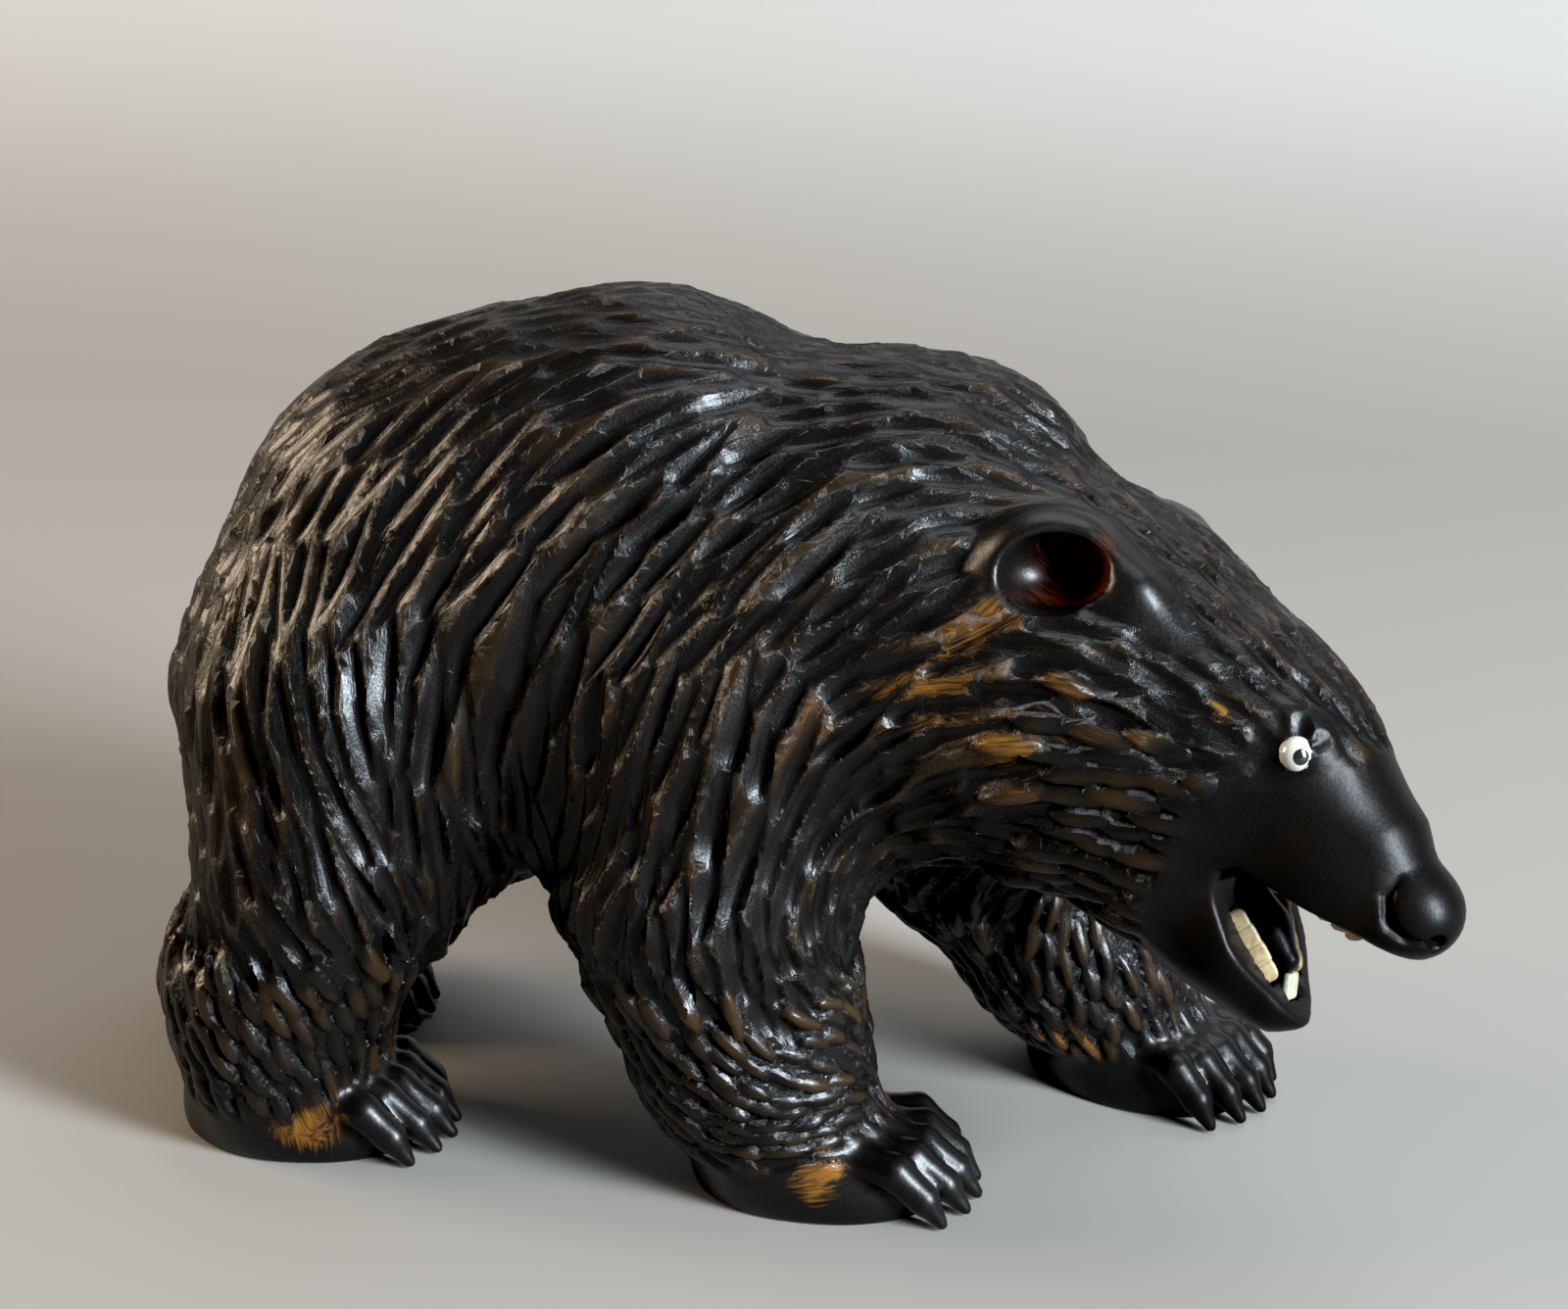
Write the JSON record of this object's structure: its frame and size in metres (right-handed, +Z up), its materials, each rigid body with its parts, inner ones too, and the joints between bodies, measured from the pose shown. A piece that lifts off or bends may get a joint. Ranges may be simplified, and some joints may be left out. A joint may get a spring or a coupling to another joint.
{
  "type": "carved bear figure",
  "caption": "Carved wooden bear figure, walking with lowered head and open mouth, glass bead eyes and bone teeth; stands as an ornament.",
  "frame": {"origin": "on the surface that the bear stands on, under the middle of its bounding box", "axes": "+X forward, along the body towards the head; +Y the bear's left; +Z up"},
  "size_m": [0.1692, 0.071, 0.1082],
  "materials": {
    "stained_wood": "dark stain, waxed to a soft gloss, worn to amber on some ridges",
    "milk_glass": "glossy opaque white with a black pupil",
    "bone": "satin cream bone",
    "pale_bone": "satin pale bone"
  },
  "bodies": {
    "root": {"bear": "stained_wood", "eye_right": "milk_glass", "eye_left": "milk_glass", "upper_teeth_right": "bone", "upper_teeth_left": "bone", "lower_teeth_right": "bone", "lower_teeth_left": "bone", "lower_front_teeth": "pale_bone"}
  },
  "joints": []
}
